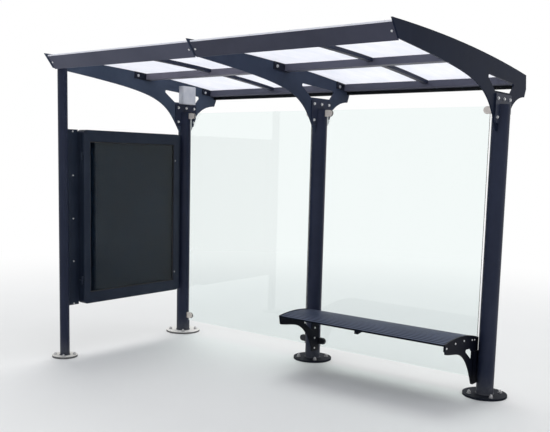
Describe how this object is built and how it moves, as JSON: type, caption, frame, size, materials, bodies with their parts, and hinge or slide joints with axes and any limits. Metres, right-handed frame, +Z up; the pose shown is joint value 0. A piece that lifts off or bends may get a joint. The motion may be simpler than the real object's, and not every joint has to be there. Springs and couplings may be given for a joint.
{
  "type": "bus shelter",
  "caption": "Open bus shelter on round posts: cut-plate rafters, opal sheet roof, clear rear panes, a glazed display case with an opening door and a slatted bench.",
  "frame": {"origin": "bottom centre of the bounding box, on the ground plane under the roof's middle", "axes": "+X along the shelter to the bench end, -Y to the open street side, +Z up"},
  "size_m": [3.31, 1.925, 2.38],
  "materials": {
    "frame_paint": "satin",
    "purlin_paint": "satin",
    "case_paint": "satin",
    "roof_opal": "satin",
    "clear_glass": "polished",
    "stainless": "brushed",
    "bench_alu": "satin",
    "box_plastic": "matte"
  },
  "bodies": {
    "shelter": {"base_flange_front": "frame_paint", "base_flange_left": "frame_paint", "base_flange_middle": "frame_paint", "base_flange_right": "frame_paint", "bench_bracket_left": "frame_paint", "bench_bracket_right": "frame_paint", "bench_cleats": "frame_paint", "bench_slats": "bench_alu", "case_back_panel": "case_paint", "case_body": "case_paint", "case_hinge_pins": "case_paint", "case_strips": "frame_paint", "fascia_cleats": "frame_paint", "fascia_left": "frame_paint", "fascia_right": "frame_paint", "front_post": "frame_paint", "glass_clamps_left": "stainless", "glass_clamps_right": "stainless", "head_cleat_left": "frame_paint", "head_cleat_middle": "frame_paint", "head_cleat_right": "frame_paint", "junction_box": "box_plastic", "mid_purlin_left": "purlin_paint", "mid_purlin_right": "purlin_paint", "rafter_left": "frame_paint", "rafter_middle": "frame_paint", "rafter_right": "frame_paint", "rear_glass_left": "clear_glass", "rear_glass_right": "clear_glass", "rear_gutter_left": "frame_paint", "rear_gutter_right": "frame_paint", "rear_post_left": "frame_paint", "rear_post_middle": "frame_paint", "rear_post_right": "frame_paint", "rear_purlin_left": "purlin_paint", "rear_purlin_right": "purlin_paint", "roof_bar_left": "frame_paint", "roof_bar_right": "frame_paint", "roof_sheets_left_front": "roof_opal", "roof_sheets_left_rear": "roof_opal", "roof_sheets_right_front": "roof_opal", "roof_sheets_right_rear": "roof_opal"},
    "case_door": {"case_door_frame": "case_paint", "case_door_glass": "clear_glass", "case_hinge_leaves": "case_paint"}
  },
  "joints": [
    {"name": "case_door_hinge", "type": "hinge", "parent": "shelter", "child": "case_door", "pos_m": [-1.432, -0.672, 1.115], "axis": [0, 0, -1], "range_deg": [0, 100]}
  ]
}
